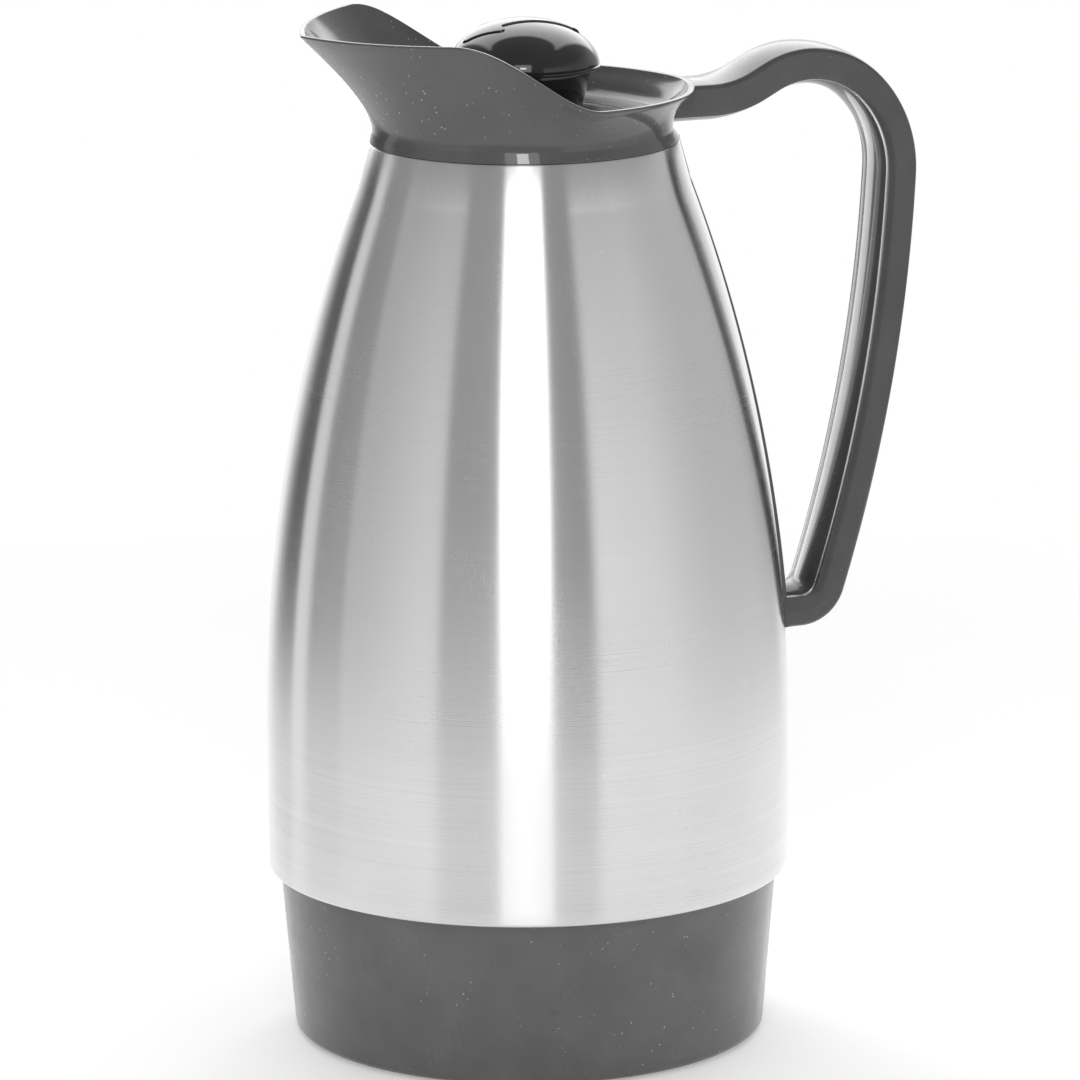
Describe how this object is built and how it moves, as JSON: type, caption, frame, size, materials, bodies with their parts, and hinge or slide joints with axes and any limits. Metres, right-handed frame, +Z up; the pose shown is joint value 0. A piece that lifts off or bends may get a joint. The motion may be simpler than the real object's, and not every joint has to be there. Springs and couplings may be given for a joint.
{
  "type": "thermal carafe",
  "caption": "Insulated jug with a steel shell on a plastic cup, a flared pouring collar, a loop handle and a screw stopper whose dome has an arrow-shaped flip lid over a valve.",
  "frame": {"origin": "centre of the face that the carafe stands on", "axes": "+Z up along the carafe's axis, +X towards the handle, spout towards -X"},
  "size_m": [0.1809, 0.1408, 0.2768],
  "materials": {
    "steel": "brushed round the axis, bright",
    "fastener": "bright",
    "dark_plastic": "glossy moulded, light scuffs",
    "grey_plastic": "moulded",
    "black_rubber": "matt",
    "silvered_glass": "silvered inside the vacuum space"
  },
  "bodies": {
    "jug": {"base_cup": "dark_plastic", "foot_pad": "black_rubber", "base_screws": "fastener", "shell_ring": "grey_plastic", "steel_shell": "steel", "flask_cushion": "black_rubber", "flask_outer_wall": "silvered_glass", "flask_inner_wall": "silvered_glass", "flask_spacers": "grey_plastic", "neck_gasket": "black_rubber", "collar": "dark_plastic", "throat_insert": "dark_plastic", "neck_clamp_ring": "grey_plastic", "collar_screws": "fastener", "handle_shell": "dark_plastic", "handle_cover": "dark_plastic", "handle_spine": "dark_plastic", "foot_screw": "fastener", "foot_plate": "fastener"},
    "seal": {"stopper_seal": "black_rubber"},
    "stopper": {"stopper_dome": "dark_plastic", "stopper_plug": "dark_plastic", "lid_hinge_pin": "fastener"},
    "lid": {"flip_lid": "dark_plastic"},
    "valve": {"valve_rod": "grey_plastic", "valve_disc": "black_rubber", "valve_spring": "fastener"}
  },
  "joints": [
    {"name": "stopper_lift", "type": "slide", "parent": "jug", "child": "seal", "axis": [0, 0, 1], "range_m": [0, 0.036]},
    {"name": "stopper_turn", "type": "hinge", "parent": "seal", "child": "stopper", "pos_m": [0, 0, 0.25], "axis": [0, 0, 1], "range_deg": [0, 540]},
    {"name": "lid_flip", "type": "hinge", "parent": "stopper", "child": "lid", "pos_m": [0.0124, 0, 0.27102], "axis": [0, 1, 0], "range_deg": [0, 60]},
    {"name": "valve_lift", "type": "slide", "parent": "stopper", "child": "valve", "axis": [0, 0, 1], "range_m": [0, 0.0035], "deforming": ["valve_spring"]}
  ],
  "couplings": [
    {"joint": "stopper_turn", "follows": "stopper_lift", "rad_per_m": 261.8},
    {"joint": "lid_flip", "follows": "valve_lift", "rad_per_m": 299.2}
  ]
}
